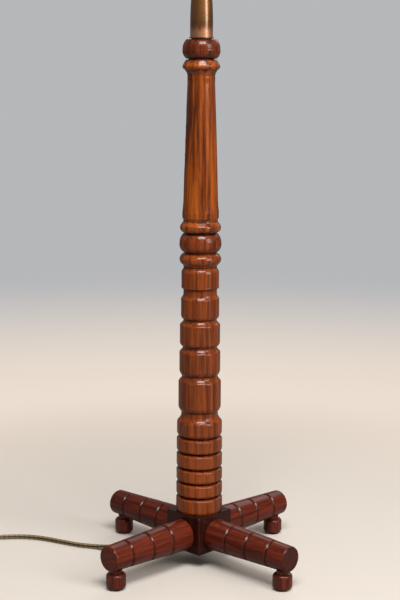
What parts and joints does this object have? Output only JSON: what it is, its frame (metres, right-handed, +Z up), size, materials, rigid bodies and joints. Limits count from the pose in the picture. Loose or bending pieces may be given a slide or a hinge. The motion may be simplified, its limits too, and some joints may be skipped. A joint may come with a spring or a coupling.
{
  "type": "floor lamp",
  "caption": "Floor lamp with a turned wooden column on a square hub with splayed turned legs, a brass neck and stem, a tapered cloth shade and a flat twin flex.",
  "frame": {"origin": "on the floor under the middle of the column", "axes": "+Z up along the column; the legs point along the diagonals of X and Y, and the flex leaves the hub towards -X"},
  "size_m": [0.5837, 0.3798, 1.3467],
  "materials": {
    "leg_wood": "dark red-brown stain under gloss lacquer",
    "hub_wood": "dark red-brown stain under gloss lacquer",
    "column_wood": "orange-brown stain under gloss lacquer",
    "dark_board": "dark stain, satin",
    "felt": "pressed felt",
    "steel": "plain",
    "aged_brass": "bronzed, polished",
    "thread_brass": "bright",
    "ceramic": "plain",
    "black_plastic": "satin",
    "bulb_glass": "clear",
    "filament": "plain",
    "shade_cloth": "woven cloth on a stiff film",
    "flex_cover": "translucent olive-gold",
    "plug_plastic": "satin",
    "pin_metal": "plated"
  },
  "bodies": {
    "lamp": {"brass_neck": "aged_brass", "centre_tube": "steel", "column_lower": "column_wood", "column_middle_bead": "column_wood", "column_top_bead": "column_wood", "column_upper": "column_wood", "cord_coil": "flex_cover", "cord_lead": "flex_cover", "cord_relief": "black_plastic", "cord_tail": "flex_cover", "flex_inside": "flex_cover", "foot_back_left": "leg_wood", "foot_back_right": "leg_wood", "foot_front_left": "leg_wood", "foot_front_right": "leg_wood", "foot_pads": "felt", "holder_cap": "aged_brass", "holder_core": "ceramic", "holder_sleeve": "aged_brass", "hub_block": "hub_wood", "hub_cover": "dark_board", "hub_cover_screws": "steel", "hub_nut": "steel", "hub_washer": "steel", "leg_back_left": "leg_wood", "leg_back_right": "leg_wood", "leg_front_left": "leg_wood", "leg_front_right": "leg_wood", "neck_seat_ring": "aged_brass", "plug_body": "plug_plastic", "plug_boot": "plug_plastic", "plug_pins": "pin_metal", "shade_ring_lower": "aged_brass", "shade_ring_upper": "aged_brass", "socket_contact": "thread_brass", "socket_shell": "thread_brass", "stem_tube": "aged_brass", "switch_block": "black_plastic"},
    "shade": {"shade_skin": "shade_cloth", "shade_wire_bottom": "steel", "shade_wire_top": "steel", "shade_carrier": "steel"},
    "switch_spindle": {"switch_shaft": "aged_brass", "switch_knob": "black_plastic"},
    "bulb_tip": {"bulb_contact": "thread_brass", "bulb_insulator": "black_plastic"},
    "bulb": {"bulb_cap": "thread_brass", "bulb_glass": "bulb_glass", "bulb_mount": "bulb_glass", "bulb_filament": "filament"}
  },
  "joints": [
    {"name": "shade_turn", "type": "hinge", "parent": "lamp", "child": "shade", "pos_m": [0, 0, 1.1495], "axis": [0, 0, 1], "continuous": true},
    {"name": "switch_turn", "type": "hinge", "parent": "lamp", "child": "switch_spindle", "pos_m": [0.02, 0, 1.1104], "axis": [1, 0, 0], "continuous": true},
    {"name": "bulb_turn", "type": "hinge", "parent": "bulb_tip", "child": "bulb", "pos_m": [0, 0, 1.1373], "axis": [0, 0, 1], "range_deg": [0, 900]},
    {"name": "bulb_rise", "type": "slide", "parent": "lamp", "child": "bulb_tip", "axis": [0, 0, 1], "range_m": [0, 0.0091]}
  ],
  "couplings": [
    {"joint": "bulb_rise", "follows": "bulb_turn", "m_per_rad": 0.00057614}
  ]
}
